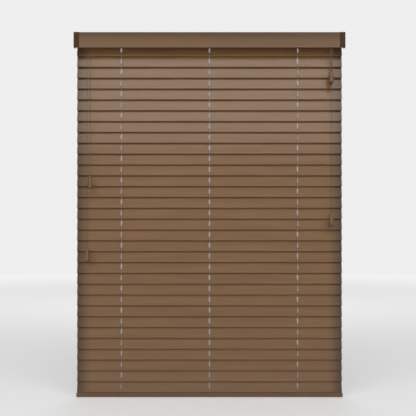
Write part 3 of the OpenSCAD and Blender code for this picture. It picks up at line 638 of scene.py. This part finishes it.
# painted shade: each slat's colour falls to 0.36 over its last 62 mm towards its ends
slat_end_painted_shade = ("X", slat_end - 62 * MM, slat_end + 4 * MM, 0.36)
slat_finish = wood_material("slat_stain", STAIN, streak=(3.2, 60, 60), fine=(9, 700, 700), contrast=0.11,
                            gloss=(0.46, 0.56), grain_depth=0.012 * MM, coat_roughness=0.16, own_tone=0.022,
                            edge=slat_end_painted_shade)
slat_names = sorted(name for name in frame["nodes"] if name.startswith("slat_"))
slat_normal = Vector((0, -room_edge.z, room_edge.y)).normalized()
if slat_normal.z < 0:
    slat_normal = -slat_normal
for name in slat_names:
    slat = frame["nodes"][name]
    centre = Vector(joints["slat_tilt" if name == "slat_01" else name + "_tilt"]["pos_m"])
    slat.data.materials.clear()
    slat.data.materials.append(slat_finish)
    slat.data.materials.append(straight_yarn_finish)
    for polygon in slat.data.polygons:
        away = polygon.center - centre
        away.x = 0
        polygon.material_index = 1 if away.dot(slat_normal) < UNDERSIDE else 0
print("slats stained:", len(slat_names))

# %% [markdown]
# ## Valance, rail and plastic parts
# The valance's boards are thicker stock in a browner stain, and painted shade darkens them towards their
# upper edge. The bottom rail is darker still. Each has its grain along its own length. Two moulded angles
# cover the valance's mitres, darker than the wood, and what works out of sight is moulded in ivory
# plastic: one colour with a faint mottle, and the fine texture of a spark-eroded mould.

# %% Boards and mouldings
VALANCE_STAIN = (0.156, 0.084, 0.0395)
RAIL_STAIN = (0.135, 0.065, 0.026)
# painted shade: a valance board's colour falls to 0.56 towards its upper edge
TOP_EDGE_PAINTED_SHADE = ("Z", 44 * MM, 8 * MM, 0.56)
MOULD_RELIEF = 0.01 * MM
valance_finish = wood_material("valance_stain", VALANCE_STAIN, streak=(1.1, 60, 60), fine=(6, 600, 600),
                               contrast=0.10, edge=TOP_EDGE_PAINTED_SHADE)
return_finish = wood_material("return_stain", VALANCE_STAIN, streak=(60, 1.1, 60), fine=(600, 6, 600),
                              contrast=0.10, edge=TOP_EDGE_PAINTED_SHADE)
rail_finish = wood_material("rail_stain", RAIL_STAIN, streak=(1.2, 60, 60), fine=(6, 600, 600),
                            contrast=0.10)


def moulded_material(name, colour, roughness, shine=0.3):
    """Injection-moulded plastic, with shine as its specular level."""
    material, tree, shader = new_material(name)
    place = object_place(tree)
    mottle = stretched_noise(tree, place, (60, 60, 60), detail=2.0)
    texture = stretched_noise(tree, place, (2600, 2600, 2600), detail=1.0)
    set_shader(tree, shader, {
        "Base Color": shaded(tree, colour, from_noise(tree, mottle, 0.95, 1.05)),
        "Roughness": from_noise(tree, mottle, roughness - 0.04, roughness + 0.04),
        "Specular IOR Level": shine,
    })
    bump(tree, shader, texture, MOULD_RELIEF)
    return material


corner_finish = moulded_material("corner_brown", (0.058, 0.027, 0.012), 0.5, shine=0.1)
plastic_finish = moulded_material("ivory_plastic", (0.72, 0.69, 0.62), 0.45)


def dress(finish, *nodes):
    """Gives CAD nodes one finish."""
    for node in nodes:
        mesh = frame["nodes"][node].data
        mesh.materials.clear()
        mesh.materials.append(finish)
    print(finish.name, "on", ", ".join(nodes))


dress(valance_finish, "valance_front")
dress(return_finish, "valance_returns")
dress(rail_finish, "bottom_rail")
dress(corner_finish, "valance_corners", "bottom_rail_plugs")
dress(plastic_finish, "valance_clips", "ladder_cradles", "tilter_housing", "cord_lock_body", "tilt_drums",
      "tilter_wheel", "tilter_worm")
dress(straight_yarn_finish, "ladder_front_strings", "ladder_rear_strings")
dress(lift_cord_finish, "lift_cords")

# %% [markdown]
# ## Metal
# The headrail is roll-formed steel, painted to go with the wood, and the two box brackets have the same
# paint. The tilt rod is drawn steel, with fine lines along it, and the cord lock's roller is brass. Paint
# hides the metal, so its shader isn't metallic: it has a weak coat, and a bump like orange peel. Bare
# metal is metallic, and what tells it from a mirror is the uneven roughness that the tools left.

# %% Metal finishes
PAINT_RELIEF = 0.008 * MM
METAL_RELIEF = 0.005 * MM


def painted_steel(name, colour, roughness):
    """Paint over steel: a faint cloud in its colour, and the fine waves of orange peel."""
    material, tree, shader = new_material(name)
    place = object_place(tree)
    peel = stretched_noise(tree, place, (420, 420, 420), detail=2.0)
    cloud = stretched_noise(tree, place, (14, 14, 14), detail=2.0)
    set_shader(tree, shader, {
        "Base Color": shaded(tree, colour, from_noise(tree, cloud, 0.96, 1.04)),
        "Roughness": from_noise(tree, peel, roughness - 0.04, roughness + 0.04),
        "Coat Weight": 0.2,
        "Coat Roughness": 0.25,
    })
    bump(tree, shader, peel, PAINT_RELIEF)
    return material


def bare_metal(name, colour, line_scale, roughness):
    """Worked metal: line_scale stretches the marks that the tools left."""
    material, tree, shader = new_material(name)
    lines = stretched_noise(tree, object_place(tree), line_scale, detail=4.0)
    set_shader(tree, shader, {
        "Base Color": shaded(tree, colour, from_noise(tree, lines, 0.88, 1.06)),
        "Roughness": from_noise(tree, lines, roughness - 0.07, roughness + 0.1),
        "Metallic": 1.0,
    })
    bump(tree, shader, lines, METAL_RELIEF)
    return material


dress(painted_steel("headrail_paint", (0.20, 0.13, 0.08), 0.4), "headrail")
dress(painted_steel("bracket_paint", (0.17, 0.11, 0.068), 0.42), "mounting_brackets", "bracket_doors")
dress(bare_metal("drawn_steel", (0.60, 0.59, 0.57), (12, 1800, 1800), 0.32), "tilt_rod")
dress(bare_metal("roller_brass", (0.72, 0.55, 0.28), (900, 900, 900), 0.3), "cord_lock_roller")
print("nodes that show:", sum(1 for o in frame["nodes"].values() if not o.hide_render))

# %% [markdown]
# ## Floor and background
# The floor is a plain pale sheet just under the bottom rail. A blind as wide as this would pick up a lot
# of light from an all-white room, and its slats would look flat. So the bright background is only there
# for rays that the eye follows, straight or mirrored, and the light on the blind comes from lamps and a
# weak grey world. The floor glows for the same rays, and more with distance, until it meets the
# background without a line.

# %% Floor
FLOOR_DROP = 1 * MM
FLOOR_HALF = 6              # metres from the middle to an edge
FLOOR_GREY = (0.72, 0.72, 0.72)
WHITE = (1, 1, 1)
GLOW_REACH = (1.0, 6.0)     # metres from the middle
GLOW = (0.22, 0.70)


def seen_rays(tree):
    """1 for a ray that the eye follows, straight or by way of metal or glass, and 0 for lighting."""
    path = add(tree, "ShaderNodeLightPath").outputs
    mirrored = arithmetic(tree, "MAXIMUM", path["Is Glossy Ray"], path["Is Transmission Ray"])
    return arithmetic(tree, "MAXIMUM", path["Is Camera Ray"], mirrored)


sheet = bmesh.new()
bmesh.ops.create_grid(sheet, x_segments=1, y_segments=1, size=FLOOR_HALF,
                      matrix=Matrix.Translation((0, 0, low_corner.z - FLOOR_DROP)))
floor_material, tree, shader = new_material("pale_floor")
away = add(tree, "ShaderNodeVectorMath", operation="LENGTH")
tree.links.new(object_place(tree), away.inputs[0])
glow = to_range(tree, away.outputs["Value"], *GLOW_REACH, *GLOW)
set_shader(tree, shader, {
    "Base Color": FLOOR_GREY,
    "Roughness": 0.9,
    "Emission Color": WHITE,
    "Emission Strength": arithmetic(tree, "MULTIPLY", seen_rays(tree), glow),
})
floor = to_object(sheet, "floor", floor_material, smooth=False)
print("floor at", round(low_corner.z - FLOOR_DROP, 4))

# %% World
AMBIENT = 0.16
BACKGROUND = (0.86, 0.86, 0.86, 1)
world = bpy.data.worlds.new("studio")
scene.world = world
world.use_nodes = True
tree = world.node_tree
tree.nodes.clear()
ambient = add(tree, "ShaderNodeBackground", Color=(*WHITE, 1), Strength=AMBIENT)
seen = add(tree, "ShaderNodeBackground", Color=BACKGROUND, Strength=1.0)
mixer = add(tree, "ShaderNodeMixShader")
output = add(tree, "ShaderNodeOutputWorld")
tree.links.new(seen_rays(tree), mixer.inputs["Fac"])
tree.links.new(ambient.outputs["Background"], mixer.inputs[1])
tree.links.new(seen.outputs["Background"], mixer.inputs[2])
tree.links.new(mixer.outputs["Shader"], output.inputs["Surface"])
scene.view_settings.view_transform = "Standard"
print("ambient light:", AMBIENT)

# %% [markdown]
# ## Lamps
# A closed slat faces a little upwards, so the top slats mirror what is 35 to 40 degrees up in front of
# them, and the low ones what is nearly level. One wide soft box stands high, where only the top slats
# mirror it, and gives them a pale sheen. A large one on each side gives an even light. One behind the
# camera is for the low slats, and fills the shadows under the edges. A dimmer one lights the back.

# %% Lamps
MIDDLE = (0, 0, -0.75)
LAMPS = {  # place, aim, width and height in metres, and brightness
    "high_box": ((0, -2.6, 2.0), (0, 0, -0.35), (3.2, 1.1), 3.36),
    "left_box": ((-2.0, -2.4, 0.4), MIDDLE, (1.5, 1.7), 3.26),
    "right_box": ((2.0, -2.4, 0.4), MIDDLE, (1.5, 1.7), 3.26),
    "front_box": ((0, -3.9, -1.05), MIDDLE, (2.6, 1.0), 3.76),
    "back_box": ((0, 3.2, 0.9), MIDDLE, (3.0, 1.4), 2.4),
}


def soft_box(name, place, aim, size, glow):
    """An area light of a given brightness, 1 for white: its power is the glow times pi and its area."""
    light = bpy.data.lights.new(name, "AREA")
    light.shape = "RECTANGLE"
    light.size, light.size_y = size
    light.energy = glow * math.pi * size[0] * size[1]
    lamp = bpy.data.objects.new(name, light)
    lamp.location = place
    lamp.rotation_euler = (Vector(aim) - Vector(place)).to_track_quat("-Z", "Y").to_euler()
    scene.collection.objects.link(lamp)


for name, values in LAMPS.items():
    soft_box(name, *values)
print("lamps:", list(LAMPS))
